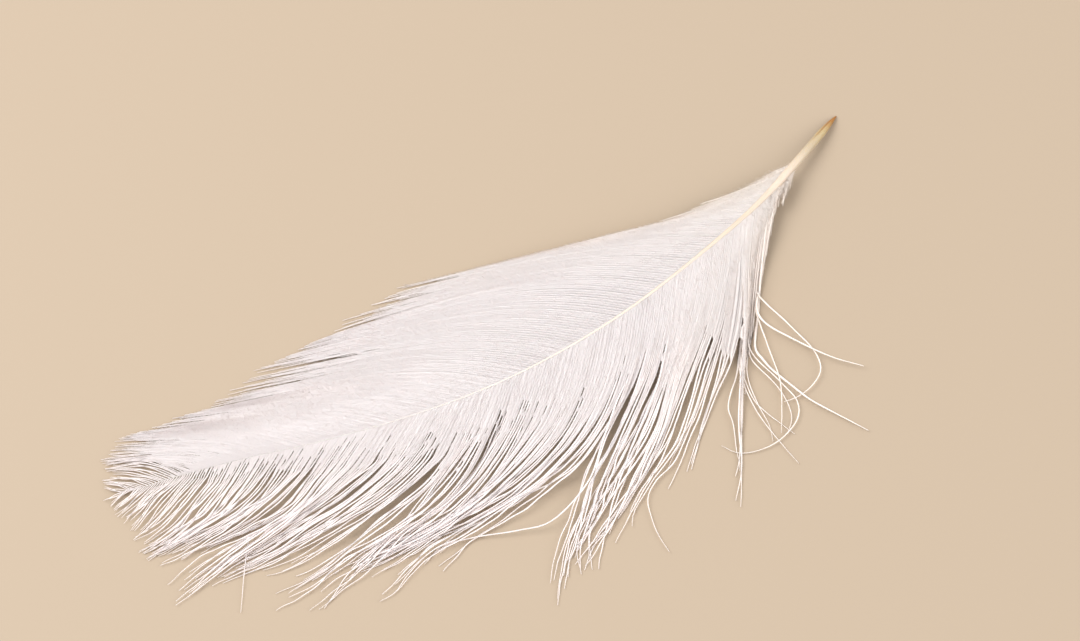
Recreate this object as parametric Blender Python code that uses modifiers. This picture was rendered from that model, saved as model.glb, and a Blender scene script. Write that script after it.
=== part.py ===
"""Hackle feather: a bare quill, its shaft and the two vanes on it, grown as one piece.

Units are metres and +Z is up. The feather lies on its underside on the floor, z = 0, with its
quill at +X and its tip at -X. Seen from above, the narrow vane is on the +Y side and the wide,
ragged vane is on the -Y side. The small tables below pair a distance along the shaft from the
quill's end, in millimetres, with the value there. Their angles are in degrees.
"""

import math
import random

import bmesh
import bpy
import numpy as np

NAME = "hackle_feather"
MM = 0.001

# The shaft. Its heading, as seen from above, is how far it points below -X on its way to the tip.
SHAFT_LENGTH = 0.1655
QUILL_END = (0.08163, 0.02664)
HEADING = ((0, 24.5), (20, 22), (32, 15), (55, 10.5), (80, 0.5), (105, -11), (135, -20), (165.5, -13.5))
ARCH = 0.0065
# Its radius in millimetres stays larger than half the vanes' thickness, so it stands proud of them.
SHAFT_RADIUS = ((0, 0.22), (1.5, 0.5), (4, 0.7), (10, 0.88), (22, 0.9), (34, 0.62), (55, 0.47), (165.5, 0.3))
SHAFT_RINGS = 40
RING_GROWTH = 1.15
SHAFT_STEPS = 200

# What the two vanes share. A lock's rows are closer together at its root, by ROW_GROWTH. A barb turns
# from its root angle to its tip angle between two shares of its length, and evenly by late_turn of it.
VANE_START = 0.0212
VANE_THICKNESS = 0.0004
ROWS = 12
ROW_GROWTH = 1.2
BARB_STEPS = 80
ON_FLOOR_FROM = 0.9

# The shares by which locks vary in width, in where they part and in length.
WIDTH_VARIES = 0.3
PARTING_VARIES = 0.3
LENGTH_VARIES = 0.09
# A lock is narrower than its root by this share where it parts, and then tapers to its point.
FIRST_GAP = 0.16
TAPER = 1.4

WELD = 1e-6
KERATIN_WHITE = (0.86, 0.84, 0.82, 1)
KERATIN_ROUGHNESS = 0.6


class NarrowVane:
    """The +Y side. Its barbs turn toward the tip early, and then lie almost along the shaft."""

    name = "narrow_vane"
    sign = 1
    seed = 11
    barb_length = (
        (21, 34), (30, 50), (40, 62), (56, 65), (75, 60), (93, 53),
        (115, 44), (130, 34), (146, 22), (156, 12), (166, 3.5),
    )
    root_angle = ((21, 34), (30, 42), (40, 48), (56, 52), (75, 45), (93, 38), (115, 32), (146, 32), (166, 44))
    tip_angle = ((21, 32), (40, 28), (56, 19), (75, 19), (93, 11), (115, 7), (146, 6), (166, 14))
    turn_starts = ((0, 0),)
    turn_ends = ((0, 0.66),)
    late_turn = 0.6
    lock_width = ((22, 3.6), (40, 5.2), (100, 5.6), (140, 4.2), (166, 1.8))
    parting = ((22, 0.42), (60, 0.36), (120, 0.34), (166, 0.2))


class WideVane:
    """The -Y side. Its barbs curve all the way, and those nearest the quill splay out."""

    name = "wide_vane"
    sign = -1
    seed = 23
    barb_length = (
        (21, 48), (24, 58), (31, 60), (33, 50), (36, 56), (45, 74), (50, 78),
        (56, 76), (75, 62), (93, 57), (115, 46), (130, 37), (146, 22), (156, 11), (166, 3.5),
    )
    root_angle = (
        (21, 28), (27, 31), (34, 38), (43, 36), (56, 44), (93, 46),
        (115, 43), (130, 49), (146, 54), (156, 43), (166, 28),
    )
    tip_angle = (
        (21, 100), (25, 86), (28, 50), (31, 40), (33, 22), (38, 18), (50, 17), (51, 2),
        (56, -2), (75, -3), (93, 10), (115, 13), (130, 18), (146, 25), (156, 34), (166, 30),
    )
    turn_starts = ((27, 0.45), (31, 0.4), (35, 0))
    turn_ends = ((31, 0.85), (35, 0.67))
    late_turn = 0
    lock_width = ((22, 2.2), (34, 2.6), (46, 4.4), (100, 4.4), (140, 3.4), (166, 1.6))
    parting = ((22, 0.34), (40, 0.26), (95, 0.27), (140, 0.2), (166, 0.12))


def read(table, s):
    """A table's value at s metres along the shaft, in a straight line between its entries."""
    return np.interp(s / MM, [row[0] for row in table], [row[1] for row in table])


def smooth(x):
    """Runs from 0 to 1 with a level start and end."""
    x = np.clip(x, 0, 1)
    return x * x * (3 - 2 * x)


def shaft_height(s):
    """The shaft lies on the floor at both ends and arches between them."""
    t = s / SHAFT_LENGTH
    return read(SHAFT_RADIUS, s) * MM + ARCH * (1 - (2 * t - 1) ** 2)


def shaft_point(s):
    """The shaft's centre line at s, found by following its heading from the quill's end."""
    step = s / SHAFT_STEPS
    heading = np.radians(read(HEADING, (np.arange(SHAFT_STEPS) + 0.5) * step))
    x = QUILL_END[0] - np.cos(heading).sum() * step
    y = QUILL_END[1] - np.sin(heading).sum() * step
    return np.array((x, y, shaft_height(s)))


def row_shares():
    """The shares of a barb's length where a lock has its rows."""
    return (np.arange(ROWS + 1) / ROWS) ** ROW_GROWTH


def barb(side, s, stretch=1.0):
    """The points of a barb from its root at s, one for each row of a lock."""
    length = read(side.barb_length, s) * MM * stretch
    along = np.linspace(0, 1, BARB_STEPS)
    root_angle = read(side.root_angle, s)
    tip_angle = read(side.tip_angle, s)
    starts, ends = read(side.turn_starts, s), read(side.turn_ends, s)
    turned = (1 - side.late_turn) * smooth((along - starts) / (ends - starts)) + side.late_turn * along
    angle = np.radians(root_angle + (tip_angle - root_angle) * turned)
    heading = side.sign * angle - np.radians(read(HEADING, s))
    step = length / (BARB_STEPS - 1)
    root = shaft_point(s)
    x = root[0] - np.concatenate(([0], np.cumsum(np.cos(heading[:-1]) * step)))
    y = root[1] + np.concatenate(([0], np.cumsum(np.sin(heading[:-1]) * step)))
    lowest = VANE_THICKNESS / 2
    z = lowest + (root[2] - lowest) * (1 - smooth(along / ON_FLOOR_FROM))
    return np.column_stack([np.interp(row_shares(), along, values) for values in (x, y, z)])


def lock_roots(side):
    """Where each lock of a vane begins along the shaft, and where the last one ends."""
    chance = random.Random(side.seed)
    roots = [VANE_START]
    while roots[-1] < SHAFT_LENGTH:
        width = read(side.lock_width, roots[-1]) * MM
        roots.append(roots[-1] + width * (1 + chance.uniform(-WIDTH_VARIES, WIDTH_VARIES)))
    roots[-1] = SHAFT_LENGTH
    return roots


def draw_in(edge, middle, parting):
    """A lock's edge, pulled to its middle line past the share of its length where it parts."""
    past = np.clip((row_shares() - parting) / (1 - parting), 0, 1)
    pull = np.where(past > 0, FIRST_GAP + (1 - FIRST_GAP) * past**TAPER, 0)
    return edge + (middle - edge) * pull[:, None]


def add_strip(bm, first, second):
    """Adds a grid one face wide between two edges, which meet in the last row."""
    grid = bmesh.ops.create_grid(bm, x_segments=1, y_segments=ROWS, size=1)["verts"]
    for v in grid:
        row = round((v.co.y + 1) / 2 * ROWS)
        v.co = (first if v.co.x < 0 else second)[row]


def make_vane(side):
    """A vane: a thin sheet of locks that share their inner edges and end in their own points."""
    chance = random.Random(side.seed + 1)
    roots = lock_roots(side)
    edges = [barb(side, s) for s in roots]
    varied = [1 + chance.uniform(-PARTING_VARIES, PARTING_VARIES) for _ in roots]
    partings = [read(side.parting, s) * share for s, share in zip(roots, varied)]
    bm = bmesh.new()
    for i in range(len(roots) - 1):
        stretch = 1 + chance.uniform(-LENGTH_VARIES, LENGTH_VARIES)
        middle = barb(side, (roots[i] + roots[i + 1]) / 2, stretch)
        first = draw_in(edges[i], middle, partings[i])
        second = draw_in(edges[i + 1], middle, partings[i + 1])
        add_strip(bm, first, second)
    bmesh.ops.remove_doubles(bm, verts=bm.verts, dist=WELD)
    bmesh.ops.recalc_face_normals(bm, faces=bm.faces)
    mesh = bpy.data.meshes.new(side.name)
    bm.to_mesh(mesh)
    bm.free()
    vane = bpy.data.objects.new(side.name, mesh)
    thicken = vane.modifiers.new("thickness", "SOLIDIFY")
    thicken.thickness = VANE_THICKNESS
    thicken.offset = 0
    return vane


def make_shaft():
    """The quill and shaft: a round tube that narrows to a point at the quill's end."""
    stations = SHAFT_LENGTH * np.linspace(0, 1, SHAFT_RINGS) ** RING_GROWTH
    curve = bpy.data.curves.new("shaft", "CURVE")
    curve.dimensions = "3D"
    curve.bevel_depth = MM
    curve.bevel_resolution = 3
    curve.use_fill_caps = True
    spline = curve.splines.new("POLY")
    spline.points.add(len(stations) - 1)
    for point, s in zip(spline.points, stations):
        point.co = (*shaft_point(s), 1)
        point.radius = read(SHAFT_RADIUS, s)
    tube = bpy.data.objects.new("shaft_curve", curve)
    bpy.context.scene.collection.objects.link(tube)
    evaluated = tube.evaluated_get(bpy.context.evaluated_depsgraph_get())
    mesh = bpy.data.meshes.new_from_object(evaluated)
    bm = bmesh.new()
    bm.from_mesh(mesh)
    bmesh.ops.remove_doubles(bm, verts=bm.verts, dist=WELD)
    bm.to_mesh(mesh)
    bm.free()
    shaft = bpy.data.objects.new("feather", mesh)
    shaft.matrix_world = tube.matrix_world
    bpy.data.objects.remove(tube)
    return shaft


def make_keratin():
    """The white horn that the whole feather is made of."""
    material = bpy.data.materials.new("white_keratin")
    material.use_nodes = True
    shader = material.node_tree.nodes["Principled BSDF"]
    shader.inputs["Base Color"].default_value = KERATIN_WHITE
    shader.inputs["Roughness"].default_value = KERATIN_ROUGHNESS
    shader.inputs["Metallic"].default_value = 0
    return material


def main():
    for o in list(bpy.data.objects):
        bpy.data.objects.remove(o)
    parts = bpy.data.collections.new(NAME)
    joined = bpy.data.collections.new("joined_shapes")
    bpy.context.scene.collection.children.link(parts)
    bpy.context.scene.collection.children.link(joined)
    feather = make_shaft()
    feather.data.materials.clear()
    feather.data.materials.append(make_keratin())
    parts.objects.link(feather)
    for side in (NarrowVane, WideVane):
        vane = make_vane(side)
        vane.hide_render = True
        vane.display_type = "WIRE"
        joined.objects.link(vane)
        join = feather.modifiers.new(side.name, "BOOLEAN")
        join.operation = "UNION"
        join.object = vane
    feather.data.shade_smooth()
    feather.data.set_sharp_from_angle(angle=math.radians(40))


main()
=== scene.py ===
"""Dresses the hackle feather: every barb as its own strand, on a shaft of the real thickness.

Units are metres, in the CAD's frame: the quill is at +X and the tip at -X, and the floor is z = 0.
A table pairs a distance along the shaft from the quill's end, in millimetres, with the value
there. Angles are in degrees. A barb's share runs from 0 at the shaft to 1 at the barb's tip.
"""

import math

import bpy
import numpy as np
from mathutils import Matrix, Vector

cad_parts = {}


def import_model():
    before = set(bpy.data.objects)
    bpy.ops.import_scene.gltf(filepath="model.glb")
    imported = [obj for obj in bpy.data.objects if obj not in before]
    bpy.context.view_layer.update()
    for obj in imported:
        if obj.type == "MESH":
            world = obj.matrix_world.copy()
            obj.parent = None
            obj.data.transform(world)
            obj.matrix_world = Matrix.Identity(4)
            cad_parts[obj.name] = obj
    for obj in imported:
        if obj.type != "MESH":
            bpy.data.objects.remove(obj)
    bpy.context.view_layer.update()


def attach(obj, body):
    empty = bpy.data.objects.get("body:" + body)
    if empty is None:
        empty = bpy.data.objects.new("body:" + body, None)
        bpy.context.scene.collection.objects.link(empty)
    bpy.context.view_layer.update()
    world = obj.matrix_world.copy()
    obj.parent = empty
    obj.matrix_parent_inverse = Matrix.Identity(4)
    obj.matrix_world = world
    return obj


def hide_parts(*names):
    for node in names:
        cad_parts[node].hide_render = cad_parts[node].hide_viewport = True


MM = 0.001
TINY = 1e-12

# The camera, which also turns a pixel of the photograph into a place on the feather.
PICTURE = (1080, 641)
LENS = 85
SENSOR = 36
AZIMUTH = -30.42
ELEVATION = 65
DISTANCE = 0.4911
TARGET = (0.00779, 0.01785, 0)

# The shaft's line, as in the CAD. Its heading is rounded from a fit to the photograph.
SHAFT_LENGTH = 0.1655
QUILL_END = (0.08163, 0.02664)
HEADING = ((0, 24.5), (20, 22), (32, 15), (55, 10.5), (80, 0.5), (105, -11), (135, -20), (165.5, -13.5))
ARCH = 0.0065
CAD_RADIUS = ((0, 0.22), (1.5, 0.5), (4, 0.7), (10, 0.88), (22, 0.9), (34, 0.62), (55, 0.47), (165.5, 0.3))
SHAFT_STEPS = 800
CURVE_STEPS = 10

# The shaft's own radius. At its thin end it is finer than the CAD's, which has to stay proud.
SHAFT_RADIUS = (
    (0, 0.1), (0.9, 0.28), (2.5, 0.5), (4, 0.66), (6, 0.8), (10, 0.84), (20, 0.86), (34, 0.6),
    (45, 0.46), (55, 0.4), (80, 0.29), (105, 0.21), (135, 0.14), (158, 0.08), (165.5, 0.05),
)

# The least height of any vertex, and of a barb's centre line where it lies on the floor.
FLOOR_GAP = 0.00002
LOWEST = 0.0002
# Barbs leave the shaft this share of its radius above its middle, so that they overlap its sides.
ROOT_RISE = 0.6
# How much of the way down to the floor a barb slopes, and the share of its length where it is down.
DROOP = ((15, 0.15), (19, 0.35), (22, 0.9), (24, 1))
ON_FLOOR_FROM = 0.9

# Every barb has the same number of points, at these shares of its length.
BARB_POINTS = 64
SHARES = np.linspace(0, 1, BARB_POINTS)[None, :]


# Strands: the root's place on the shaft, and then pixels traced in the photograph. The root is
# about where a scratch script found that the plain barb nearest the first pixel starts.
NARROW_STRANDS = (
    (152.9, (180, 474), (150, 461), (130, 460), (106, 464)),
    (153.6, (178, 475), (160, 467), (138, 464), (105, 467)),
    (154.8, (173, 477), (154, 470), (135, 468), (105, 470)),
    (156.5, (164, 480), (146, 474), (128, 471), (107, 472)),
    (157.5, (158, 480), (140, 476), (114, 474)),
    (159.6, (146, 484), (130, 480), (102, 480)),
    (162.6, (130, 490), (118, 486), (103, 483)),
    (163.8, (127, 491), (116, 490), (105, 487)),
)
WIDE_STRANDS = (
    (17.2, (788, 181), (785, 194), (782, 206)),
    (20.2, (780, 186), (777, 200), (772, 222)),
    (22.8, (773, 192), (768, 222), (762, 255), (757, 300)),
    (25.2, (765, 200), (759, 240), (754, 290), (750, 338)),
    (27.8, (757, 210), (751, 260), (747, 310), (745, 372)),
    (29, (743, 365), (741, 405), (741, 450), (737, 512)),
    (30.2, (743, 376), (741, 430), (740, 463), (730, 502)),
    (31, (744, 296), (739, 326), (729, 358), (714, 391), (702, 425), (697, 462)),
    (31.8, (722, 370), (708, 411), (698, 447), (695, 470)),
    (33, (712, 372), (694, 425), (673, 470), (664, 485)),
    (34.4, (702, 376), (682, 441), (652, 484), (637, 512), (636, 526)),
    (36.2, (694, 370), (667, 442), (640, 492), (611, 541)),
    (38.4, (688, 366), (656, 452), (625, 503), (594, 543)),
    (40, (680, 376), (652, 457), (622, 510), (581, 564)),
    (42.8, (672, 376), (655, 435), (617, 500), (569, 567)),
    (49, (658, 382), (632, 435), (602, 496), (580, 542), (575, 557)),
    (51.4, (648, 386), (624, 439), (605, 480), (590, 517), (583, 541), (588, 571)),
    (54.6, (640, 385), (615, 441), (594, 482), (584, 520), (573, 557), (564, 607)),
    (57.4, (626, 392), (606, 436), (590, 480), (581, 518), (572, 550), (567, 585)),
    (58.6, (607, 427), (580, 465), (550, 486), (510, 512), (465, 538), (440, 560), (429, 570)),
    (60.8, (590, 440), (556, 478), (520, 507), (478, 533), (454, 549), (432, 568)),
    (63.2, (562, 462), (532, 490), (496, 514), (460, 538), (435, 552), (408, 577), (384, 601)),
    (66, (556, 456), (510, 498), (470, 518), (430, 535), (400, 551), (380, 562)),
    (68, (556, 451), (528, 481), (484, 515), (430, 542), (378, 569)),
    (71, (552, 441), (526, 469), (494, 496), (440, 531), (404, 551), (362, 573)),
    (74.8, (545, 430), (508, 474), (464, 511), (400, 548), (352, 569)),
    (79, (530, 430), (494, 479), (452, 514), (404, 541), (357, 566)),
    (81, (515, 445), (495, 476), (465, 506), (420, 533), (380, 550)),
    (85, (504, 436), (473, 482), (430, 519), (382, 547), (348, 565), (317, 585)),
    (86.6, (496, 440), (464, 488), (420, 524), (374, 554), (330, 582), (310, 600)),
    (87.8, (500, 425), (485, 458), (460, 489), (430, 515), (400, 530), (380, 538)),
    (89.2, (488, 435), (470, 471), (444, 503), (398, 535), (346, 579), (311, 608)),
    (91, (476, 442), (449, 485), (410, 521), (345, 555), (300, 587), (266, 604)),
    (92.2, (470, 443), (442, 480), (412, 518), (367, 565), (331, 606)),
    (93.5, (462, 447), (436, 483), (404, 523), (357, 572), (324, 609)),
    (95.2, (450, 459), (425, 488), (380, 522), (330, 561), (304, 578), (273, 590)),
    (98.2, (434, 460), (400, 492), (341, 533), (300, 558), (278, 567), (266, 570)),
    (101.8, (423, 450), (400, 477), (360, 509), (310, 539), (277, 558), (232, 577), (212, 586)),
    (109.6, (378, 465), (344, 496), (300, 526), (250, 559), (218, 577)),
    (112.6, (362, 468), (325, 499), (272, 535), (225, 562), (198, 577)),
    (116, (345, 470), (310, 504), (260, 538), (219, 568), (173, 605)),
    (120.2, (323, 477), (296, 509), (252, 537), (210, 564), (177, 587)),
    (121.6, (316, 479), (288, 510), (236, 541), (195, 559), (163, 580)),
    (123, (310, 480), (290, 506), (260, 526), (230, 537), (208, 546)),
    (128, (291, 477), (263, 503), (225, 530), (180, 559), (162, 569)),
    (131.5, (284, 465), (259, 500), (215, 529), (170, 551), (158, 556)),
    (135.6, (246, 492), (223, 517), (182, 541), (147, 560)),
    (139, (236, 487), (215, 514), (176, 540), (147, 559)),
    (142.5, (222, 487), (200, 514), (165, 541), (139, 554)),
    (145.5, (210, 486), (178, 524), (156, 541), (142, 547)),
    (148.5, (199, 481), (175, 511), (154, 532), (135, 543)),
    (149.9, (193, 480), (170, 507), (150, 527), (132, 540)),
    (151.5, (187, 478), (166, 502), (139, 534)),
    (153.3, (179, 479), (150, 506), (130, 532)),
    (155.8, (163, 486), (140, 508), (126, 516)),
    (157.3, (155, 488), (133, 511), (122, 523)),
    (159.5, (146, 488), (125, 508), (115, 515)),
    (161.6, (137, 489), (114, 510)),
    (163, (130, 489), (111, 507)),
    (164.7, (119, 495), (111, 498), (103, 500)),
)
# The same for lone barbs, which lie by themselves: the fan's, and a few that have left their strands.
LONE_BARBS = (
    (21.6, (757, 308), (767, 325), (798, 342), (832, 357), (864, 365)),
    (22.3, (757, 295), (785, 325), (808, 349), (817, 368), (810, 383), (797, 394), (783, 399)),
    (22.9, (755, 313), (767, 347), (778, 380), (780, 410), (779, 433)),
    (23.4, (755, 347), (763, 360), (777, 375), (815, 404), (868, 431)),
    (23.9, (750, 350), (782, 383), (798, 402), (798, 420), (782, 440), (758, 452), (737, 454),
     (721, 447)),
    (24.4, (750, 360), (778, 390), (790, 415), (785, 435)),
    (25.6, (740, 363), (753, 398), (767, 413), (795, 434)),
    (26.2, (739, 368), (753, 402), (772, 430), (800, 463)),
    (25, (747, 372), (757, 402), (769, 424), (773, 442)),
    (27.2, (737, 372), (730, 393), (727, 410), (731, 425), (735, 452), (739, 465)),
    (34.6, (706, 380), (678, 455), (655, 481), (647, 500), (652, 522), (660, 540), (669, 553)),
    (58.2, (618, 400), (604, 440), (588, 483), (552, 522), (518, 532), (470, 540),
     (435, 551), (409, 575), (396, 593), (380, 602)),
    (110.9, (372, 466), (340, 489), (290, 523), (254, 536), (247, 549), (243, 580), (240, 613)),
)


# The settings of a vane. A barb turns from root_angle to tip_angle between the shares turn_starts
# and turn_ends, apart from late_turn, the part of the turn that is even. It leaves the closed vane
# at the share parting. Past that, pull draws it to its strand's course and closing to its lock, its
# lock leans by drift and it leans by wander. The web between two barbs reaches web_share of the way
# to their parting, and further by hold within a strand. It tears where they are web_stretch times
# as far apart as at their roots. Its last part, ragged_run, has holes, and it narrows over web_end
# at its end. Lengths are in millimetres. From about 56 mm on, the barbs' lengths and angles are
# rounded from fits to the photograph, and nearer the quill they were set one by one.
class NarrowVane:
    """The +Y side. Its barbs turn toward the tip evenly, and then lie almost along the shaft."""

    name = "narrow_vane"
    sign = 1
    seed = 11
    barb_length = (
        (14, 3), (18, 9), (21, 32), (30, 50), (40, 62), (56, 65), (75, 60), (93, 53),
        (115, 44), (130, 34), (146, 22), (156, 12), (166, 3.5),
    )
    root_angle = (
        (21, 34), (30, 42), (40, 48), (56, 52), (75, 45), (93, 38), (115, 32), (146, 32), (166, 44),
    )
    tip_angle = ((21, 32), (40, 28), (56, 19), (75, 19), (93, 11), (115, 7), (146, 6), (166, 14))
    turn_starts = ((0, 0),)
    turn_ends = ((0, 0.66),)
    late_turn = 0.6
    longest = 1.05
    length_varies = 0.09
    wander = 0.007
    pitch = ((14, 0.4), (22, 0.72), (60, 0.78), (120, 0.66), (166, 0.54))
    parting = (
        (21, 0.78), (60, 0.82), (120, 0.76), (140, 0.66), (146, 0.5), (150, 0.34), (154, 0.16), (166, 0.05),
    )
    pull = ((24, 0.12), (140, 0.12), (150, 0.08), (166, 0.05))
    web_share = ((24, 1), (150, 1), (153, 0.7), (157, 0.2), (160, 0.1))
    parting_scatter = ((0, 0.012),)
    in_strand = (3, 7)
    in_lock = (1, 3)
    closing = 0.35
    hold = ((0, 0.12),)
    holes = ((22, 1), (60, 1), (110, 2), (138, 2), (146, 3.5), (166, 3.5))
    web_end = ((0, 3),)
    ragged_run = ((22, 8), (138, 8), (146, 18), (166, 18))
    web_step = 0.6
    web_stretch = ((0, 4.5),)
    drift = 0.0024
    lone = ()
    strands = NARROW_STRANDS


class WideVane:
    """The -Y side. Its barbs curve all the way, and those nearest the quill splay out."""

    name = "wide_vane"
    sign = -1
    seed = 23
    barb_length = (
        (15, 3), (16.5, 5.5), (18.5, 8), (20, 14), (21, 24), (24, 33), (28, 42), (30, 52), (33, 50), (36, 56),
        (45, 74), (50, 78), (56, 76), (75, 62), (93, 57), (115, 46), (130, 37), (146, 22), (156, 11),
        (166, 3.5),
    )
    root_angle = (
        (21, 28), (27, 31), (34, 38), (43, 36), (56, 44), (93, 46),
        (115, 43), (130, 49), (146, 54), (156, 43), (166, 28),
    )
    tip_angle = (
        (21, 30), (31, 34), (33, 22), (38, 18), (50, 17), (51, 2), (56, -2), (75, -3),
        (93, 10), (115, 13), (130, 18), (146, 25), (156, 34), (166, 30),
    )
    turn_starts = ((27, 0.45), (31, 0.4), (35, 0))
    turn_ends = ((31, 0.85), (35, 0.67))
    late_turn = 0
    longest = 1
    length_varies = 0.08
    wander = 0.016
    pitch = ((14, 0.3), (20, 0.42), (30, 0.52), (42, 0.6), (60, 0.66), (120, 0.6), (166, 0.54))
    pull = ((24, 0.5), (33, 0.58), (60, 0.68), (95, 0.64), (130, 0.54), (145, 0.32), (150, 0.15), (166, 0.1))
    web_share = ((24, 1), (135, 1), (144, 0.9), (149, 0.5), (153, 0.1))
    parting = (
        (16, 0.5), (20, 0.75), (22, 0.78), (27, 0.72), (29.5, 0.62), (31, 0.52), (32.5, 0.45), (35.5, 0.36),
        (40, 0.32), (55, 0.28), (62, 0.24), (72, 0.27), (83, 0.23), (97, 0.21), (106, 0.18), (120, 0.14),
        (136, 0.11), (148, 0.07), (166, 0.04),
    )
    parting_scatter = ((22, 0.012), (80, 0.015), (105, 0.032), (150, 0.03), (166, 0.01))
    in_strand = (3, 6)
    in_lock = (1, 4)
    closing = 0.45
    hold = ((22, 0.12), (31, 0.05), (57, 0.05), (62, 0.07), (120, 0.08), (140, 0.06), (166, 0.05))
    holes = ((22, 0), (33, 0.3), (40, 1.2), (60, 1.6), (100, 2.2), (166, 1.4))
    web_end = ((22, 7), (28, 5), (30, 3.5), (33, 3), (38, 2.4), (120, 2.2), (166, 1.5))
    ragged_run = ((22, 4.5), (60, 4), (120, 2.5), (166, 0.8))
    web_step = 0.45
    web_stretch = ((22, 8), (33, 8), (37, 4.5), (166, 4.5))
    drift = 0.009
    lone = LONE_BARBS
    strands = WIDE_STRANDS


def read(table, s):
    """A table's value at s metres along the shaft, in a straight line between its entries."""
    return np.interp(s / MM, [row[0] for row in table], [row[1] for row in table])


def smooth(x):
    """Runs from 0 to 1 with a level start and end."""
    x = np.clip(x, 0, 1)
    return x * x * (3 - 2 * x)


def grown(s, start, run):
    """Runs smoothly from 0 to 1 along the shaft, over run millimetres from start millimetres on."""
    return smooth((s / MM - start) / run)


def shaft_height(s):
    """The CAD's shaft lies on the floor at both ends and arches between them."""
    t = s / SHAFT_LENGTH
    return read(CAD_RADIUS, s) * MM + ARCH * (1 - (2 * t - 1) ** 2)


def shaft_points(s):
    """The shaft's centre line at each s, found by following its heading from the quill's end."""
    fine = np.linspace(0, SHAFT_LENGTH, SHAFT_STEPS + 1)
    step = fine[1]
    heading = np.radians(read(HEADING, fine[:-1] + step / 2))
    x = QUILL_END[0] - np.concatenate(([0], np.cumsum(np.cos(heading)))) * step
    y = QUILL_END[1] - np.concatenate(([0], np.cumsum(np.sin(heading)))) * step
    return np.stack((np.interp(s, fine, x), np.interp(s, fine, y), shaft_height(s)), axis=-1)


def unit(vectors):
    """The vectors at a length of 1."""
    return vectors / np.maximum(np.linalg.norm(vectors, axis=-1, keepdims=True), TINY)


def tangents(lines):
    """The unit direction at each point of each line."""
    return unit(np.gradient(lines, axis=-2))


def sideways(t):
    """The level unit vector to the left of each direction."""
    return unit(np.stack((-t[..., 1], t[..., 0], np.zeros(t.shape[:-1])), axis=-1))


def arc_length(line):
    """The distance along a line at each of its points."""
    return np.concatenate(([0], np.cumsum(np.linalg.norm(np.diff(line, axis=0), axis=1))))


def rows_at(rows, arc, at):
    """What the rows, which are at the distances arc, become at the distances at."""
    return np.stack([np.interp(at, arc, rows[:, k]) for k in range(rows.shape[1])], axis=-1)


def resampled(line, count):
    """The same line with count points, evenly spaced."""
    arc = arc_length(line)
    return rows_at(line, arc, np.linspace(0, arc[-1], count))


def curve_through(points):
    """A smooth line through the points, each of which pulls on the two spans beside it."""
    first = 2 * points[:1] - points[1:2]
    last = 2 * points[-1:] - points[-2:-1]
    p = np.vstack((first, points, last))
    u = np.linspace(0, 1, CURVE_STEPS, endpoint=False)[None, :, None]
    a, b, c, d = (p[k : len(p) - 3 + k, None, :] for k in range(4))
    run = 2 * b + (c - a) * u + (2 * a - 5 * b + 4 * c - d) * u**2 + (3 * b - a - 3 * c + d) * u**3
    return np.vstack((run.reshape(-1, points.shape[1]) / 2, points[-1:]))


def camera_axes():
    """The camera's place and its right, up and backward directions."""
    azimuth, elevation = math.radians(AZIMUTH), math.radians(ELEVATION)
    back = np.array((
        math.sin(azimuth) * math.cos(elevation),
        -math.cos(azimuth) * math.cos(elevation),
        math.sin(elevation),
    ))
    right = np.array((math.cos(azimuth), math.sin(azimuth), 0))
    return np.array(TARGET) + back * DISTANCE, right, np.cross(back, right), back


def seen_at(pixels, heights):
    """The places at the given heights that the camera sees at the photograph's pixels."""
    eye, right, up, back = camera_axes()
    scale = SENSOR / LENS / PICTURE[0]
    across = (np.array(pixels) - np.array(PICTURE) / 2) * scale
    ray = across[:, :1] * right - across[:, 1:] * up - back
    return eye + ray * ((heights - eye[2]) / ray[:, 2])[:, None]


def barb_height(share, root_height, droop):
    """A barb slopes from the shaft to the floor, or only by the share droop of that."""
    return LOWEST + (root_height - LOWEST) * (1 - droop * smooth(share / ON_FLOOR_FROM))


def plain_barbs(side, s, length, count):
    """The unruffled barbs with their roots at each s, as an array of barbs, points and x, y, z."""
    share = np.linspace(0, 1, count)[None, :]
    starts, ends = read(side.turn_starts, s)[:, None], read(side.turn_ends, s)[:, None]
    root_angle, tip_angle = read(side.root_angle, s)[:, None], read(side.tip_angle, s)[:, None]
    turned = (1 - side.late_turn) * smooth((share - starts) / (ends - starts)) + side.late_turn * share
    angle = np.radians(root_angle + (tip_angle - root_angle) * turned)
    heading = side.sign * angle - np.radians(read(HEADING, s))[:, None]
    step = (length / (count - 1))[:, None]
    root = shaft_points(s)
    root[:, 2] += ROOT_RISE * read(SHAFT_RADIUS, s) * MM
    middle = (heading[:, 1:] + heading[:, :-1]) / 2
    zero = np.zeros((len(s), 1))
    x = root[:, :1] - np.hstack((zero, np.cumsum(np.cos(middle) * step, axis=1)))
    y = root[:, 1:2] + np.hstack((zero, np.cumsum(np.sin(middle) * step, axis=1)))
    return np.stack((x, y, barb_height(share, root[:, 2:], read(DROOP, s)[:, None])), axis=-1)


# A traced strand starts as a plain barb, which is then bent to it, and most of that late.
PLAIN_POINTS = 80
INNER_POINTS = 6
STRAND_POINTS = 160
LATE_BEND = 1.6
# The traced points' heights, at first, and how often they and the line are worked out in turn.
FIRST_HEIGHT = 0.0005
ROUNDS = 3


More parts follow.
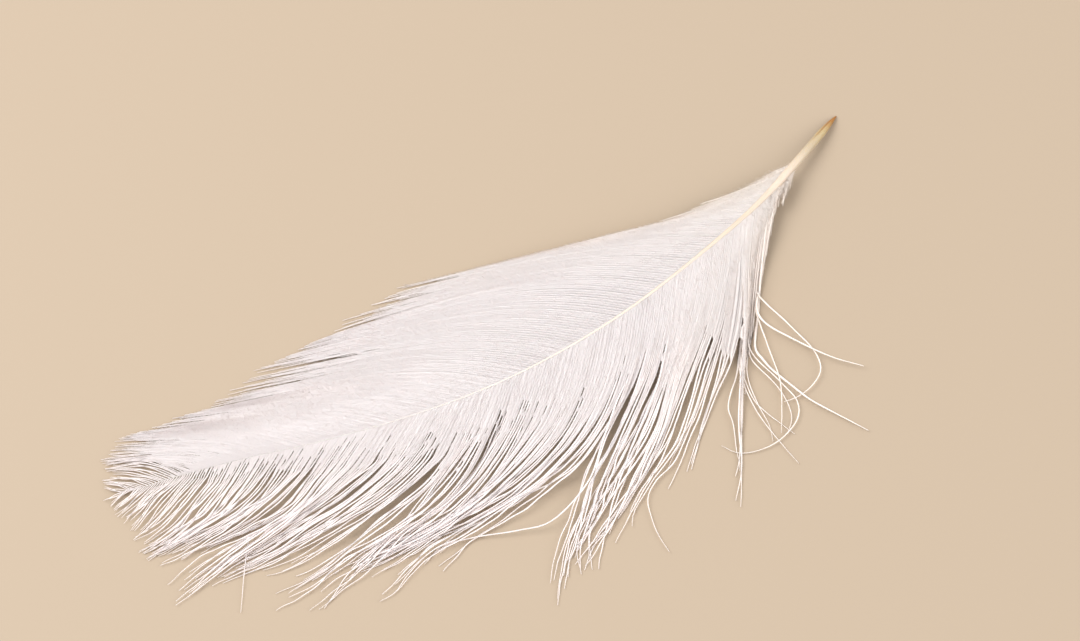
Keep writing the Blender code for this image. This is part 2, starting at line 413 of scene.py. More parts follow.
def traced_strand(side, strand):
    """The line of a traced strand from its root, and the share at which its traced part starts.

    The first part is the plain barb at that root, bent so that it meets the first traced point.
    """
    root, *pixels = strand
    s = np.array([root * MM])
    length = read(side.barb_length, s)[0] * MM
    droop = read(DROOP, s)[0]
    plain = plain_barbs(side, s, np.array([length]), PLAIN_POINTS)[0]
    heights = np.full(len(pixels), FIRST_HEIGHT)
    for _ in range(ROUNDS):
        traced = seen_at(pixels, heights)
        joint = np.linalg.norm(plain[:, :2] - traced[0, :2], axis=1).argmin()
        along = np.linspace(0, 1, joint + 1)[:, None]
        inner = plain[: joint + 1] + smooth(along) ** LATE_BEND * (traced[0] - plain[joint])
        few = np.linspace(0, joint, INNER_POINTS).astype(int)[:-1] if joint >= INNER_POINTS else [0]
        line = resampled(curve_through(np.vstack((inner[few], traced))[:, :2]), STRAND_POINTS)
        arc = arc_length(line)
        near = [np.linalg.norm(line - point[:2], axis=1).argmin() for point in traced]
        sloped = np.minimum(arc / min(arc[-1], length), 1)
        heights = barb_height(sloped[near], plain[0, 2], droop)
    line = np.column_stack((line, barb_height(sloped, plain[0, 2], droop)))
    return resampled(line, BARB_POINTS), (arc / arc[-1])[near[0]]


def roots_of(strands):
    """Where traced strands leave the shaft."""
    return np.array([strand[0] for strand in strands]) * MM


# Downy barbs start at DOWN_START, and the vane proper at 21 mm. The last bit of the shaft is bare.
DOWN_START = 0.0155
BARE_TIP = 0.0004
PITCH_VARIES = (0.85, 1.15)


def barb_roots(side, rng):
    """Where each barb of a vane leaves the shaft."""
    roots = [DOWN_START]
    while roots[-1] < SHAFT_LENGTH - BARE_TIP:
        roots.append(roots[-1] + read(side.pitch, roots[-1]) * MM * rng.uniform(*PITCH_VARIES))
    return np.array(roots[:-1])


def shortened(values, kept):
    """The values along each barb, when only the given share of its length is kept."""
    n, m = values.shape[:2]
    at = np.arange(m) * kept[:, None]
    before = np.minimum(at.astype(int), m - 2)
    row = np.arange(n)[:, None]
    part = (at - before).reshape((n, m) + (1,) * (values.ndim - 2))
    return values[row, before] * (1 - part) + values[row, before + 1] * part


def in_groups(n, smallest, largest, rng):
    """Numbers n neighbours by group, each group of a size between smallest and largest."""
    numbers = []
    group = 0
    while len(numbers) < n:
        numbers += [group] * int(rng.integers(smallest, largest + 1))
        group += 1
    return np.array(numbers[:n])


def group_means(lines, group):
    """The mean line of each barb's group."""
    return np.array([lines[group == k].mean(axis=0) for k in range(group.max() + 1)])[group]


# Beyond the first and the last traced strand, barbs are bent to their course over this distance.
STRAND_REACH = 0.004
# A traced strand draws in the barbs whose roots are this near its own.
STRAND_HALF = 0.0013


def bent_to_strands(side, s, lines):
    """Bends the barbs between the traced strands, so that they run as those do.

    Also gives for each barb the nearest strand's number, its course, whether the barb is part of it,
    and the number of the gap between strands that the barb is in.
    """
    roots = roots_of(side.strands)
    guides = np.array([traced_strand(side, strand)[0] for strand in side.strands])
    lengths = read(side.barb_length, roots) * MM * side.longest
    bends = guides - plain_barbs(side, roots, lengths, BARB_POINTS)
    after = np.clip(np.searchsorted(roots, s), 1, len(roots) - 1)
    between = np.clip((s - roots[after - 1]) / (roots[after] - roots[after - 1]), 0, 1)[:, None, None]
    bend = bends[after - 1] * (1 - between) + bends[after] * between
    outside = np.maximum(roots[0] - s, s - roots[-1])
    lines = lines + bend * (1 - smooth(outside / STRAND_REACH))[:, None, None]
    distance = np.abs(s[:, None] - roots)
    nearest = distance.argmin(axis=1)
    return lines, nearest, guides[nearest], distance.min(axis=1) < STRAND_HALF, after


class Barbs:
    """A vane's barbs, in arrays with a row for each. The lone ones come last.

    They are: roots, their places on the shaft; lines, their centre lines; strand, and lock within
    it, the numbers of their groups; past, how free of their neighbours they are at each point;
    parts, the share where each but the lone ones leaves the closed vane; half and up, their half
    widths and their ridges' heights.
    """


# By how much the share varies where a strand parts, and the least and the greatest such share.
PARTING_VARIES = (0.88, 1.15)
PARTING_RANGE = (0.04, 0.9)
# A barb comes free of its neighbours over this share of its length.
FREE_RUN = 0.5
# How far barbs follow their strand's course. Some are loose and follow it less.
HELD = (0.7, 1.05)
LOOSE_HELD = (0, 0.5)
LOOSE_SHARE = 0.2
# Toward their tips all are held less by this share.
TIP_FROM = 0.75
TIP_LOOSENS = 0.35
# A strand draws together by these parts, each over this share of its barbs' length.
DRAWN_TOGETHER = ((0.7, 0.14), (0.3, 0.45))
# A lock closes from this far past the parting on, over this share of the length.
LOCK_AFTER = 0.1
LOCK_RUN = 0.45
# More than a vane has groups, so that two of their numbers can be joined into one.
MANY = 1000


def part_into_strands(side, barbs, rng):
    """Bends the barbs to the traced strands, and draws each strand and lock together where it is free."""
    s = barbs.roots
    n = len(s)
    lines, nearest, guide, guided, gap = bent_to_strands(side, s, barbs.lines)
    # Barbs between the traced strands part into strands by chance.
    strand = np.where(guided, nearest, MANY * gap + in_groups(n, *side.in_strand, rng))
    strand = np.unique(strand, return_inverse=True)[1]
    parts = read(side.parting, s) * rng.uniform(*PARTING_VARIES, strand.max() + 1)[strand]
    parts = parts + read(side.parting_scatter, s) * rng.normal(0, 1, n)
    parts = np.clip(parts, *PARTING_RANGE)
    after = SHARES - parts[:, None]
    course = np.where(guided[:, None, None], guide, group_means(lines, strand))
    loose = rng.uniform(0, 1, n) < LOOSE_SHARE
    held = read(side.pull, s) * np.where(loose, rng.uniform(*LOOSE_HELD, n), rng.uniform(*HELD, n))
    held = held[:, None] * (1 - TIP_LOOSENS * smooth((SHARES - TIP_FROM) / (1 - TIP_FROM)))
    drawn = sum(part * smooth(after / run) for part, run in DRAWN_TOGETHER)
    lines = lines + (course - lines) * (held * drawn)[..., None]
    lock = np.unique(strand * MANY + in_groups(n, *side.in_lock, rng), return_inverse=True)[1]
    closing = side.closing * smooth((after - LOCK_AFTER) / LOCK_RUN)
    barbs.lines = lines + (group_means(lines, lock) - lines) * closing[..., None]
    barbs.strand = strand
    barbs.lock = lock
    barbs.parts = parts
    barbs.past = smooth(after / FREE_RUN)


# A lone barb comes free this far before its traced part, and over this share.
FREE_BEFORE = 0.1
LONE_FREE_RUN = 0.15


def add_lone_barbs(side, barbs):
    """Adds the lone barbs."""
    if not side.lone:
        return
    lines, starts = (np.array(part) for part in zip(*(traced_strand(side, strand) for strand in side.lone)))
    past = smooth((SHARES - starts[:, None] + FREE_BEFORE) / LONE_FREE_RUN)
    numbers = 1 + np.arange(len(lines))
    barbs.roots = np.concatenate((barbs.roots, roots_of(side.lone)))
    barbs.lines = np.concatenate((barbs.lines, lines))
    barbs.past = np.concatenate((barbs.past, past))
    barbs.strand = np.concatenate((barbs.strand, barbs.strand.max() + numbers))
    barbs.lock = np.concatenate((barbs.lock, barbs.lock.max() + numbers))


# The least and the greatest lengths and heights of a barb's three waves.
WAVE_LENGTHS = ((0.004, 0.009, 0.022), (0.008, 0.016, 0.04))
WAVE_HEIGHTS = ((0.00002, 0.00004, 0.0001), (0.00009, 0.00018, 0.0005))
# Lone barbs keep closer to their traced course, and are taken to be this long.
LONE_WAVES = 0.3
LONE_LENGTH = 0.05


def let_wave(side, barbs, length, rng):
    """Locks lean a little, and each barb leans and waves on its own where it is free."""
    count = len(barbs.roots)
    arc = length[:, None] * SHARES
    lean = rng.normal(0, side.drift, barbs.lock.max() + 1)[barbs.lock][:, None]
    wave_length = rng.uniform(*WAVE_LENGTHS, (count, 3)).T[..., None]
    wave_height = rng.uniform(*WAVE_HEIGHTS, (count, 3)).T[..., None]
    phase = rng.uniform(0, 2 * math.pi, (3, count))[..., None]
    own_lean = rng.normal(0, side.wander, count)[:, None]
    waves = (wave_height * np.sin(phase + 2 * math.pi * arc / wave_length)).sum(axis=0)
    moved = barbs.past * waves + barbs.past**2 * (lean + own_lean) * arc
    moved[len(barbs.parts) :] *= LONE_WAVES
    barbs.lines = barbs.lines + sideways(tangents(barbs.lines)) * moved[..., None]


# How far a strand rises over another where it is free, and a barb over its neighbours, free or not.
STRAND_RISE = 0.0005
BARB_RISE = 0.0003
CLOSED_RISE = 0.00002
# Toward its tip a barb sinks again by this share of that rise.
TIP_SINKS = 0.6
SINK_FROM = 0.8
SINK_RUN = 0.2
# Lone barbs rise by this share of STRAND_RISE. Until they leave the vane they run this far beneath
# it, from this share of their length on.
LONE_LEVEL = 0.6
UNDER_VANE = 0.0003
UNDER_FROM = 0.1


def lay_down(barbs, rng):
    """Gives the barbs their heights. Strands lie over and under each other, and so do their barbs."""
    closed = len(barbs.parts)
    lines, past = barbs.lines, barbs.past
    level = rng.uniform(0, 1, barbs.strand.max() + 1)[barbs.strand][:, None]
    level[closed:] = LONE_LEVEL
    own_level = rng.uniform(0, 1, len(lines))[:, None]
    free = past * (1 - TIP_SINKS * smooth((SHARES - SINK_FROM) / SINK_RUN))
    droop = read(DROOP, barbs.roots[:closed])[:, None]
    lines[:closed, :, 2] = barb_height(SHARES, lines[:closed, :1, 2], droop)
    lines[closed:, :, 2] -= UNDER_VANE * (1 - past[closed:]) * smooth(SHARES / UNDER_FROM)
    lines[..., 2] += own_level * CLOSED_RISE + (level * STRAND_RISE + own_level * BARB_RISE) * free


# The least share of its full length that a barb keeps.
SHORTEST = 0.7


def grow_barbs(side):
    """The barbs of a vane, apart from their widths."""
    rng = np.random.default_rng(side.seed)
    barbs = Barbs()
    barbs.roots = barb_roots(side, rng)
    closed = len(barbs.roots)
    length = read(side.barb_length, barbs.roots) * MM * side.longest
    kept = np.clip(1 - np.abs(rng.normal(0, side.length_varies, closed)), SHORTEST, 1)
    # A barb whose strand was traced keeps its whole length.
    kept[[np.abs(barbs.roots - root).argmin() for root in roots_of(side.strands)]] = 1
    barbs.lines = plain_barbs(side, barbs.roots, length, BARB_POINTS)
    part_into_strands(side, barbs, rng)
    add_lone_barbs(side, barbs)
    lone = len(barbs.roots) - closed
    let_wave(side, barbs, np.concatenate((length, np.full(lone, LONE_LENGTH))), rng)
    lay_down(barbs, rng)
    barbs.parts = barbs.parts / kept
    kept = np.concatenate((kept, np.ones(lone)))
    barbs.lines = shortened(barbs.lines, kept)
    barbs.past = shortened(barbs.past, kept)
    return barbs


def above_floor(corners):
    """The corners as one list, none of them lower than FLOOR_GAP."""
    corners = corners.reshape(-1, 3)
    corners[:, 2] = np.maximum(corners[:, 2], FLOOR_GAP)
    return corners


def tube_faces(first, rings):
    """The quads of closed tubes with four corners a ring. Each tube's corners start at one of first."""
    base = first[:, None] + np.arange(rings - 1) * 4
    last = first + (rings - 1) * 4
    faces = [(base + k, base + j, base + 4 + j, base + 4 + k) for k, j in ((0, 1), (1, 2), (2, 3), (3, 0))]
    faces += [(first + 3, first + 2, first + 1, first), (last, last + 1, last + 2, last + 3)]
    return np.concatenate([np.stack(face, axis=-1).reshape(-1, 4) for face in faces])


def make_object(name, verts, faces, values, material):
    """A mesh object from arrays, with one float attribute for each of values."""
    mesh = bpy.data.meshes.new(name)
    size = faces.shape[1]
    mesh.vertices.add(len(verts))
    mesh.vertices.foreach_set("co", np.float32(verts).ravel())
    mesh.loops.add(faces.size)
    mesh.loops.foreach_set("vertex_index", np.int32(faces).ravel())
    mesh.polygons.add(len(faces))
    mesh.polygons.foreach_set("loop_start", np.arange(0, faces.size, size, dtype=np.int32))
    mesh.update(calc_edges=True)
    mesh.validate()
    for key, value in values.items():
        layer = mesh.attributes.new(key, "FLOAT", "POINT")
        layer.data.foreach_set("value", np.float32(value))
    mesh.materials.append(material)
    piece = bpy.data.objects.new(name, mesh)
    bpy.context.scene.collection.objects.link(piece)
    return piece


def dress(piece):
    """Says that a piece rides on the feather and stands for its solid."""
    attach(piece, "root")
    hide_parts("feather")


# The barbs' widths in millimetres, and how many times as wide the lone ones are.
BARB_WIDTH = (
    (14, 0.26), (20, 0.32), (24, 0.37), (50, 0.38), (60, 0.35), (80, 0.34), (120, 0.31), (145, 0.27),
    (155, 0.23), (166, 0.19),
)
LONE_WIDTH = ((21.6, 1.6), (22.3, 1), (22.9, 0.9), (23.4, 1.35), (23.9, 1), (34, 0.85))
WIDTH_VARIES = (0.82, 1.12)
# A barb narrows toward its tip by TAPER, and by RIPPLE in waves of a phase and a rate in radians.
TAPER = 0.65
RIPPLE = 0.08
RIPPLE_PHASE = (0, 6)
RIPPLE_RATE = (60, 110)
# Its ridge's height and its underside's depth, as shares of its half width. The ridge is higher by
# FREE_RIDGE where the barb is free.
CLOSED_RIDGE = 0.3
FREE_RIDGE = 0.3
UNDERSIDE = 0.5
# How far it is turned about its own line: the mean and the spread.
ROLL = (6, 3)
# Its tone is made up of its strand's and its own.
STRAND_TONE = 0.35
OWN_TONE = 0.65


def make_barbs(side, material):
    """The barbs of a vane, each one a four-sided, ridged strand."""
    barbs = grow_barbs(side)
    rng = np.random.default_rng(side.seed + 100)
    n, m = barbs.lines.shape[:2]
    closed = len(barbs.parts)
    width = read(BARB_WIDTH, barbs.roots)[:, None] * MM * rng.uniform(*WIDTH_VARIES, n)[:, None]
    width[closed:] *= read(LONE_WIDTH, barbs.roots[closed:])[:, None]
    phase = rng.uniform(*RIPPLE_PHASE, n)[:, None]
    ripple = 1 + RIPPLE * np.sin(phase + SHARES * rng.uniform(*RIPPLE_RATE, n)[:, None])
    barbs.half = width / 2 * (1 - TAPER * SHARES**4) * ripple
    barbs.up = barbs.half * (CLOSED_RIDGE + FREE_RIDGE * barbs.past)
    roll = side.sign * np.radians(rng.normal(*ROLL, n))[:, None, None]
    tone = STRAND_TONE * rng.uniform(0, 1, barbs.strand.max() + 1)[barbs.strand]
    tone = tone + OWN_TONE * rng.uniform(0, 1, n)

    t = tangents(barbs.lines)
    level = sideways(t)
    upward = np.cross(t, level)
    across = (level * np.cos(roll) + upward * np.sin(roll)) * barbs.half[..., None]
    top = upward * np.cos(roll) - level * np.sin(roll)
    ridge = barbs.lines + top * barbs.up[..., None]
    underside = barbs.lines - top * (barbs.half * UNDERSIDE)[..., None]
    verts = above_floor(np.stack((barbs.lines + across, ridge, barbs.lines - across, underside), axis=2))
    faces = tube_faces(np.arange(n) * m * 4, m)
    values = {"along_shaft": np.repeat(barbs.roots / SHAFT_LENGTH, m * 4), "tone": np.repeat(tone, m * 4)}
    dress(make_object(side.name + "_barbs", verts, faces, values, material))
    return barbs


# The web's height, as a share of its barbs' ridges, and how far its middle is below that.
WEB_LEVEL = 0.78
WEB_UNDERSIDE = 0.00006
WEB_TOP = 0.00001
# How much further the web holds, times the vane's hold: in a strand, and in a lock.
STRAND_HOLD = (0, 1)
LOCK_HOLD = (1, 3)
# The same between two strands, but as a share of a barb, and how far any web reaches.
APART_HOLD = (-0.03, 0.02)
FURTHEST_HOLD = 0.95
# Past FIRM_SHARE of its length, the web tears at this share of the stretch.
FIRM_SHARE = 0.8
LATE_STRETCH = 0.355
STRETCH_VARIES = (0.9, 1.1)
# The holes are past this share of the web, and are 1 to 3 steps long.
HOLES_FROM = 0.3
HOLE_STEPS = (1, 4)
SHORTEST_RUN = 3
# Beside a hole the web narrows over HOLE_END steps. At its end it narrows over web_end, but at most
# over its length divided by MOST_NARROW, and to the share WEB_POINT of its width.
HOLE_END = 2
WEB_END_VARIES = (0.6, 1.4)
MOST_NARROW = 2.5
WEB_POINT = 0.03
WEB_TONE = (0.35, 0.75)


def web_edge(barbs, i, step):
    """Where the web meets a barb, at every step of the barb's length."""
    arc = arc_length(barbs.lines[i])
    rows = rows_at(np.column_stack((barbs.lines[i], barbs.up[i])), arc, np.arange(0, arc[-1], step))
    rows[:, 2] += WEB_LEVEL * rows[:, 3]
    return rows[:, :3]


def web_reach(side, barbs, i, near, far, rng):
    """The last step of the web between two barbs: where it ends, or where it is torn before that.

    Barbs of one lock hold together longest, and those of different strands part first.
    """
    s = barbs.roots[i]
    extra = rng.uniform(*APART_HOLD)
    hold = read(side.hold, s)
    if barbs.strand[i] == barbs.strand[i + 1]:
        extra = hold * rng.uniform(*STRAND_HOLD)
    if barbs.lock[i] == barbs.lock[i + 1]:
        extra = hold * rng.uniform(*LOCK_HOLD)
    until = min(FURTHEST_HOLD, (barbs.parts[i] + extra) * read(side.web_share, s))
    whole = len(near)
    gap = np.linalg.norm(near[:, :2] - far[:, :2], axis=1)
    firm = np.arange(whole) < FIRM_SHARE * whole * until
    stretch = read(side.web_stretch, s) * np.where(firm, 1, LATE_STRETCH)
    torn = np.flatnonzero(gap > stretch * gap[0] * rng.uniform(*STRETCH_VARIES))
    return max(0, min(int(whole * until), torn[0] if len(torn) else whole - 1))


def web_runs(side, s, last, rng):
    """The stretches of a web that are left between small lens-shaped holes, as steps."""
    holes = rng.poisson(read(side.holes, s))
    ragged_from = max(HOLES_FROM * last, last - read(side.ragged_run, s) / side.web_step)
    runs = []
    start = 0
    for at in np.sort(rng.uniform(ragged_from, last, holes)).astype(int):
        if at - start >= SHORTEST_RUN:
            runs.append((start, at))
            start = at + int(rng.integers(*HOLE_STEPS))
    if last - start >= SHORTEST_RUN:
        runs.append((start, last))
    return runs


def web_strip(end, near, far, after_hole, before_hole):
    """The rings of a stretch of web. Where it ends, it is drawn back to a point beside its first barb."""
    size = len(near)
    at = np.arange(size)
    ends = smooth((size - 1 - at) / (HOLE_END if before_hole else min(end, size / MOST_NARROW)))
    if after_hole:
        ends = ends * smooth(at / HOLE_END)
    far = near + (far - near) * (WEB_POINT + (1 - WEB_POINT) * ends[:, None])
    middle = (near + far) / 2
    return np.stack((near, middle - (0, 0, WEB_UNDERSIDE), far, middle - (0, 0, WEB_TOP)), axis=1)


def make_web(side, barbs, material):
    """The closed part of the vane: thin strips between neighbouring barbs, as far as they hold."""
    rng = np.random.default_rng(side.seed + 300)
    edges = [web_edge(barbs, i, side.web_step * MM) for i in range(len(barbs.parts))]
    rings, faces, along, tone = [], [], [], []
    count = 0
    for i in range(len(edges) - 1):
        s = barbs.roots[i]
        whole = min(len(edges[i]), len(edges[i + 1]))
        near, far = edges[i][:whole], edges[i + 1][:whole]
        last = web_reach(side, barbs, i, near, far, rng)
        for first, final in web_runs(side, s, last, rng):
            run = slice(first, final + 1)
            end = read(side.web_end, s) * rng.uniform(*WEB_END_VARIES) / side.web_step
            strip = web_strip(end, near[run], far[run], first > 0, final < last)
            corners = len(strip) * 4
            rings.append(strip)
            faces.append(tube_faces(np.array([count]), len(strip)))
            along.append(np.full(corners, s / SHAFT_LENGTH))
            tone.append(np.full(corners, rng.uniform(*WEB_TONE)))
            count += corners
    verts = above_floor(np.concatenate(rings))
    values = {"along_shaft": np.concatenate(along), "tone": np.concatenate(tone)}
    dress(make_object(side.name + "_web", verts, np.concatenate(faces), values, material))


# Where down turns into the vane, and where the vane gets finer: a start and a run.
DOWN_ENDS = (17, 6)
FINER_FROM = (125, 30)
# How far apart barbules are along a barb, how much closer they are in down, and where they end.
BARBULE_PITCH = 0.00026
DOWN_CLOSER = 0.00012
BARBULES_UNTIL = 0.97
# A free barb has lost this share of its barbules. It counts as free when it is a third free.
QUITE_FREE = 3
LOST = 0.35
# How far barbules reach sideways, how much less on free barbs, by what share less on finer ones,
# and how much more in down.
REACH = 0.00042
FREE_LESS = 0.0003
FINER_LESS = 0.6
DOWN_MORE = (0.0001, 0.0004)
REACH_VARIES = (0.6, 1.3)
# The angle between barbule and barb, its spread and how much wider that is in down. No barbule is
# longer than at LEAST_ANGLE, which is in radians.
BARBULE_ANGLE = 36
ANGLE_SPREAD = 7
DOWN_SPREAD = 12
LEAST_ANGLE = 0.35
# Where a barbule starts: these shares of the barb's half width and of its ridge's height.
START_OUT = 0.6
START_UP = 0.75
# The height of its tip over its start, and how much more that can be in down, and is less if free.
TIP_RISE = (-0.00002, 0.00003)
DOWN_RISE = 0.0004
FREE_DROP = 0.00004
# Its half width, how much less that is in down, and its thickness as a share of that.
BARBULE_WIDTH = 0.00005
DOWN_THINNER = 0.00002
BARBULE_THICKNESS = 0.6
BARBULE_TONE = (0.3, 1)


def barbules_of(barbs, i, rng):
    """The starts, tips and half widths of a barb's barbules, and the barb's direction at each."""
    s, line = barbs.roots[i], barbs.lines[i]
    t = tangents(line)
    arc = arc_length(line)
    downy = 1 - grown(s, *DOWN_ENDS)
    count = int(arc[-1] / (BARBULE_PITCH - DOWN_CLOSER * downy))
    d = np.sort(rng.uniform(0, BARBULES_UNTIL * arc[-1], count))
    at = rows_at(np.column_stack((line, t, sideways(t), barbs.half[i], barbs.up[i], barbs.past[i])), arc, d)
    free = np.minimum(1, QUITE_FREE * at[:, 11])
    kept = rng.uniform(0, 1, count) < 1 - LOST * free
    at, free = at[kept], free[kept]
    count = len(at)
    direction, out = at[:, 3:6], at[:, 6:9] * rng.choice((-1.0, 1.0), count)[:, None]
    reach = (REACH - FREE_LESS * free) * (1 - FINER_LESS * grown(s, *FINER_FROM))
    reach = reach + downy * rng.uniform(*DOWN_MORE, count)
    reach = reach * rng.uniform(*REACH_VARIES, count)
    angle = np.radians(rng.normal(BARBULE_ANGLE, ANGLE_SPREAD + DOWN_SPREAD * downy, count))[:, None]
    way = direction * np.cos(angle) + out * np.sin(angle)
    start = at[:, :3] + out * (at[:, 9:10] * START_OUT)
    start[:, 2] += at[:, 10] * START_UP * (1 - free)
    tip = start + way * (reach[:, None] / np.sin(np.maximum(angle, LEAST_ANGLE)))
    tip[:, 2] += rng.uniform(TIP_RISE[0], TIP_RISE[1] + DOWN_RISE * downy, count) - FREE_DROP * free
    return start, tip, np.full((count, 1), BARBULE_WIDTH - DOWN_THINNER * downy), direction


def make_barbules(side, barbs, material):
    """Short fibres on both edges of each barb, dense in the closed vane and sparse beyond it."""
    rng = np.random.default_rng(side.seed + 200)
    rows = [barbules_of(barbs, i, rng) for i in range(len(barbs.roots))]
    start, tip, width, direction = (np.concatenate(part) for part in zip(*rows))
    rise = np.array((0, 0, BARBULE_THICKNESS)) * width
    corners = np.stack((start - direction * width, start + direction * width, start + rise, tip), axis=1)
    count = len(start)
    first = (np.arange(count) * 4)[:, None]
    faces = np.concatenate([first + np.array(f) for f in ((0, 1, 3), (1, 2, 3), (2, 0, 3), (0, 2, 1))])
    along = np.repeat(barbs.roots / SHAFT_LENGTH, [4 * len(row[0]) for row in rows])
    values = {"along_shaft": along, "tone": np.repeat(rng.uniform(*BARBULE_TONE, count), 4)}
    dress(make_object(side.name + "_barbules", above_floor(corners), faces, values, material))


# The shaft's rings are closer together at the quill, by RING_GROWTH.
SHAFT_RINGS = 260
SHAFT_SIDES = 24
RING_GROWTH = 1.15
# Angles around a ring run from its left side over its top. The bare quill is round, and the shaft
# past it has a groove underneath and flatter sides. Depths are shares of the radius.
GROOVE_GROWS = (18, 14)
GROOVE_AT = 270
GROOVE_WIDTH = 24
GROOVE_DEPTH = 0.3
FLATTER = 0.1
# The slit at the quill's end runs along the side of the narrow vane.
SLIT_OPENS = (0.3, 1.5)
SLIT_CLOSES = (5, 5)
SLIT_AT = 122
SLIT_WIDTH = 15
SLIT_DEPTH = 0.42


def make_shaft(material):
    """The quill and shaft as one closed tube, with a slit at the quill's end and a groove underneath."""
    s = SHAFT_LENGTH * np.linspace(0, 1, SHAFT_RINGS) ** RING_GROWTH
    centre = shaft_points(s)
    t = tangents(centre)
    left = sideways(t)
    top = np.cross(t, left)
    k = SHAFT_SIDES
    turn = np.linspace(0, 2 * math.pi, k, endpoint=False)
    degrees = np.degrees(turn)
    grooved = grown(s, *GROOVE_GROWS)[:, None]
    slit = (grown(s, *SLIT_OPENS) * (1 - grown(s, *SLIT_CLOSES)))[:, None]
    slit = slit * np.exp(-((degrees - SLIT_AT) / SLIT_WIDTH) ** 2)
    profile = 1 - GROOVE_DEPTH * grooved * np.exp(-((degrees - GROOVE_AT) / GROOVE_WIDTH) ** 2)
    profile = profile * (1 - FLATTER * grooved * np.abs(np.cos(turn)) ** 6) * (1 - SLIT_DEPTH * slit)
    outward = np.cos(turn)[:, None] * left[:, None, :] + np.sin(turn)[:, None] * top[:, None, :]
    radius = read(SHAFT_RADIUS, s)[:, None, None] * MM
    verts = above_floor(centre[:, None, :] + radius * profile[..., None] * outward)
    first = (np.arange(SHAFT_RINGS - 1) * k)[:, None]
    j = np.arange(k)
    following = (j + 1) % k
    quads = np.stack((first + j, first + following, first + k + following, first + k + j), axis=-1)
    # Both ends are closed by quads across the ring.
    j = np.arange(k // 2 - 1)
    cap = np.stack((j, j + 1, k - 2 - j, k - 1 - j), axis=-1)
    faces = np.vstack((quads.reshape(-1, 4), cap[:, ::-1], cap + (SHAFT_RINGS - 1) * k))
    values = {
        "along_shaft": np.repeat(s / SHAFT_LENGTH, k),
        "around": np.tile(np.abs(turn - math.pi) / math.pi, SHAFT_RINGS),
        # The slit's mask also places the slit's painted dark: partly amber horn, partly painted shade.
        "slit": slit.reshape(-1),
    }
    shaft = make_object("shaft", verts, faces, values, material)
    shaft.data.shade_smooth()
    dress(shaft)


def fill(tree, node, inputs):
    """Sets a node's inputs to values, or joins them to sockets."""
    for name, value in inputs.items():
        if isinstance(value, bpy.types.NodeSocket):
            tree.links.new(value, node.inputs[name])
        else:
            node.inputs[name].default_value = value


def add_node(tree, kind, inputs):
    """A new node with these inputs."""
    node = tree.nodes.new("ShaderNode" + kind)
    fill(tree, node, inputs)
    return node


def new_material(name):
    """A material, its node tree and its shader."""
    material = bpy.data.materials.new(name)
    material.use_nodes = True
    return material, material.node_tree, material.node_tree.nodes["Principled BSDF"]


def attribute(tree, name):
    """The values of a mesh attribute, as a socket."""
    node = add_node(tree, "Attribute", {})
    node.attribute_name = name
    return node.outputs["Fac"]


def ramp(tree, value, stops):
    """The colour for a value, between stops of value and linear colour."""
    node = add_node(tree, "ValToRGB", {"Fac": value})
    while len(node.color_ramp.elements) < len(stops):
        node.color_ramp.elements.new(0.5)
    for element, (position, color) in zip(node.color_ramp.elements, stops):
        element.position = position
        element.color = (*color, 1)
    return node.outputs["Color"]


def mixed(tree, kind, factor, a, b):
    """The colours a and b, mixed."""
    mix = add_node(tree, "Mix", {})
    mix.data_type = "RGBA"
    mix.blend_type = kind
    fill(tree, mix, {"Factor": factor, "A": a, "B": b})
    return mix.outputs["Result"]


def mapped(tree, value, low, high):
    """A value socket from 0 to 1, mapped to the range from low to high."""
    return add_node(tree, "MapRange", {"To Min": low, "To Max": high, "Value": value}).outputs["Result"]


def noise(tree, place, scale, detail):
    """Noise at the place that a vector socket gives."""
    return add_node(tree, "TexNoise", {"Scale": scale, "Detail": detail, "Vector": place}).outputs["Fac"]


def relief(tree, height, strength, distance):
    """Normals for a shader, from a socket with the height."""
    inputs = {"Strength": strength, "Distance": distance, "Height": height}
    return add_node(tree, "Bump", inputs).outputs["Normal"]


# The linear colours at shares of the shaft's length.
WHITES = ((0.1, (0.92, 0.81, 0.715)), (0.2, (0.92, 0.818, 0.778)), (0.34, (0.922, 0.825, 0.81)))
HORNS = (
    (0, (0.24, 0.095, 0.025)), (0.012, (0.33, 0.146, 0.024)), (0.034, (0.45, 0.355, 0.182)),
    (0.06, (0.46, 0.375, 0.255)), (0.085, (0.55, 0.46, 0.345)), (0.115, (0.65, 0.54, 0.44)),
    (0.2, (0.6, 0.5, 0.395)), (0.35, (0.67, 0.58, 0.5)), (0.7, (0.74, 0.67, 0.615)),
)
# The slit's dark colour, and how far it covers the horn: partly the horn's own amber, partly painted shade in
# the slit's groove.
SLIT_AMBER_AND_SHADE = (0.30, 0.12, 0.03, 1)
MOST_SLIT_DARKENING = 0.85
# Barbs and places differ in brightness, and places in roughness too.
BARB_SHADES = (0.955, 1.0)
PATCH_SHADES = (0.965, 1.015)
PATCH_ROUGHNESS = (0.42, 0.62)
STREAK_SHADES = (0.8, 1.12)
STREAK_ROUGHNESS = (0.3, 0.5)
# The ranges of the streaks' noise along the shaft and around it.
STREAKS_ALONG = (0, 26)
STREAKS_AROUND = (0, 9)


def keratin_material():
    """White horn, creamy near the quill, a little uneven from barb to barb and along each."""
    material, tree, shader = new_material("white_keratin")
    place = add_node(tree, "TexCoord", {}).outputs["Object"]
    patches = noise(tree, place, scale=900, detail=3)
    color = ramp(tree, attribute(tree, "along_shaft"), WHITES)
    color = mixed(tree, "MULTIPLY", 1, color, mapped(tree, attribute(tree, "tone"), *BARB_SHADES))
    color = mixed(tree, "MULTIPLY", 1, color, mapped(tree, patches, *PATCH_SHADES))
    fill(tree, shader, {
        "Base Color": color,
        "Roughness": mapped(tree, patches, *PATCH_ROUGHNESS),
        "Normal": relief(tree, noise(tree, place, scale=6000, detail=2), strength=0.25, distance=0.00003),
        "Subsurface Weight": 0.6,
        "Subsurface Radius": (1.0, 0.9, 0.85),
        "Subsurface Scale": 0.0006,
    })
    return material


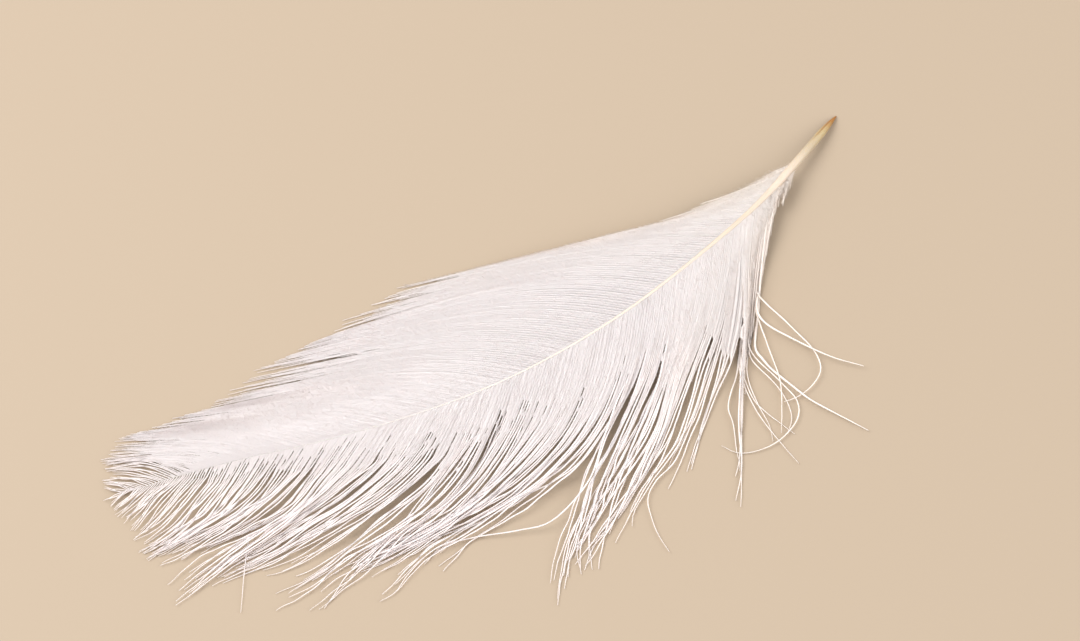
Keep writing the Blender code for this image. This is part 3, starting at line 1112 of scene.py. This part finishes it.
def quill_material():
    """Horn: amber at the torn end, then straw and cream, with fine streaks along it, and the slit painted
    dark, partly the horn's own amber and partly painted shade in its groove.
    """
    material, tree, shader = new_material("horn_quill")
    along = attribute(tree, "along_shaft")
    # Streaks are noise that is stretched along the shaft.
    place = add_node(tree, "CombineXYZ", {
        "X": mapped(tree, along, *STREAKS_ALONG),
        "Y": mapped(tree, attribute(tree, "around"), *STREAKS_AROUND),
    })
    streaks = noise(tree, place.outputs["Vector"], scale=1.6, detail=4)
    color = mixed(tree, "MULTIPLY", 1, ramp(tree, along, HORNS), mapped(tree, streaks, *STREAK_SHADES))
    # The slit is painted dark: partly amber horn, partly painted shade in its groove.
    slit = mapped(tree, attribute(tree, "slit"), 0, MOST_SLIT_DARKENING)
    fill(tree, shader, {
        "Base Color": mixed(tree, "MIX", slit, color, SLIT_AMBER_AND_SHADE),
        "Roughness": mapped(tree, streaks, *STREAK_ROUGHNESS),
        "Normal": relief(tree, streaks, strength=0.3, distance=0.00008),
        "Subsurface Weight": 0.35,
        "Subsurface Radius": (1.0, 0.75, 0.5),
        "Subsurface Scale": 0.0008,
    })
    return material


def make_floor():
    """The plain floor that the feather lies on, eight metres wide."""
    corners = 4 * np.array(((-1, -1, 0), (1, -1, 0), (1, 1, 0), (-1, 1, 0)))
    material, tree, shader = new_material("pale_floor")
    fill(tree, shader, {"Base Color": (0.37, 0.295, 0.215, 1), "Roughness": 0.7})
    make_object("floor", corners, np.array([[0, 1, 2, 3]]), {}, material)


def put(thing, location, direction):
    """Puts a camera or lamp at a place, and turns it to look in a direction."""
    thing.location = location
    thing.rotation_mode = "QUATERNION"
    thing.rotation_quaternion = Vector(direction).to_track_quat("-Z", "Y")
    bpy.context.scene.collection.objects.link(thing)


def make_camera():
    """The camera, which looks at the feather as in the photograph."""
    eye, _, _, back = camera_axes()
    camera = bpy.data.objects.new("camera", bpy.data.cameras.new("camera"))
    camera.data.lens = LENS
    camera.data.sensor_width = SENSOR
    camera.data.clip_start = 0.01
    put(camera, eye, -back)
    bpy.context.scene.camera = camera


def make_light(name, location, size, power, color):
    """A round lamp that points at the middle of the floor."""
    light = bpy.data.lights.new(name, "AREA")
    light.shape = "DISK"
    light.size = size
    light.energy = power
    light.color = color
    put(bpy.data.objects.new(name, light), location, -Vector(location))


def make_world():
    """Even light from all around, and the way the picture shows its colours."""
    world = bpy.data.worlds.new("studio")
    world.use_nodes = True
    tree = world.node_tree
    fill(tree, tree.nodes["Background"], {"Color": (1.0, 0.975, 0.965, 1), "Strength": 0.885})
    bpy.context.scene.world = world
    bpy.context.scene.view_settings.view_transform = "Standard"


def main():
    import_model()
    white = keratin_material()
    make_shaft(quill_material())
    for side in (NarrowVane, WideVane):
        barbs = make_barbs(side, white)
        make_web(side, barbs, white)
        make_barbules(side, barbs, white)
    make_floor()
    make_camera()
    make_light("key", location=(-0.5, 0.45, 0.9), size=0.8, power=12.1, color=(1, 0.985, 0.98))
    make_light("fill", location=(0.8, -0.7, 0.8), size=1.2, power=10.6, color=(1, 0.98, 0.975))
    make_world()


main()
